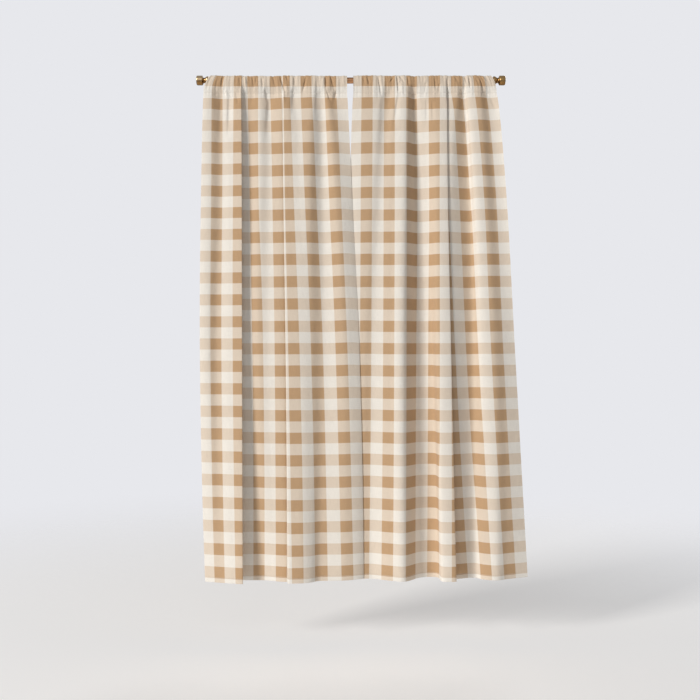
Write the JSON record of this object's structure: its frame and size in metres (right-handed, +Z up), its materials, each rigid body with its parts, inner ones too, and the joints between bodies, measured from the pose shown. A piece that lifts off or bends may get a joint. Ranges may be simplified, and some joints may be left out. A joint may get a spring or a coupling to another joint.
{
  "type": "gingham curtain pair on a curtain rod",
  "caption": "Pair of long checked curtain panels gathered by rod pockets on a thin brass rod with barrel finials.",
  "frame": {"origin": "on the rod's axis, at the middle of its length", "axes": "+Z up, +Y back towards the wall, +X along the rod to the right as seen from the room"},
  "size_m": [1.3983, 0.1132, 2.1268],
  "materials": {
    "gingham_left": "matt woven cloth, tan and cream checks",
    "gingham_right": "matt woven cloth, tan and cream checks",
    "rod_brass": "aged satin brass",
    "finial_brass_left": "aged polished brass",
    "finial_brass_right": "aged polished brass"
  },
  "bodies": {
    "root": {"panel_left": "gingham_left", "panel_right": "gingham_right", "rod": "rod_brass", "finial_left": "finial_brass_left", "finial_right": "finial_brass_right"}
  },
  "joints": []
}
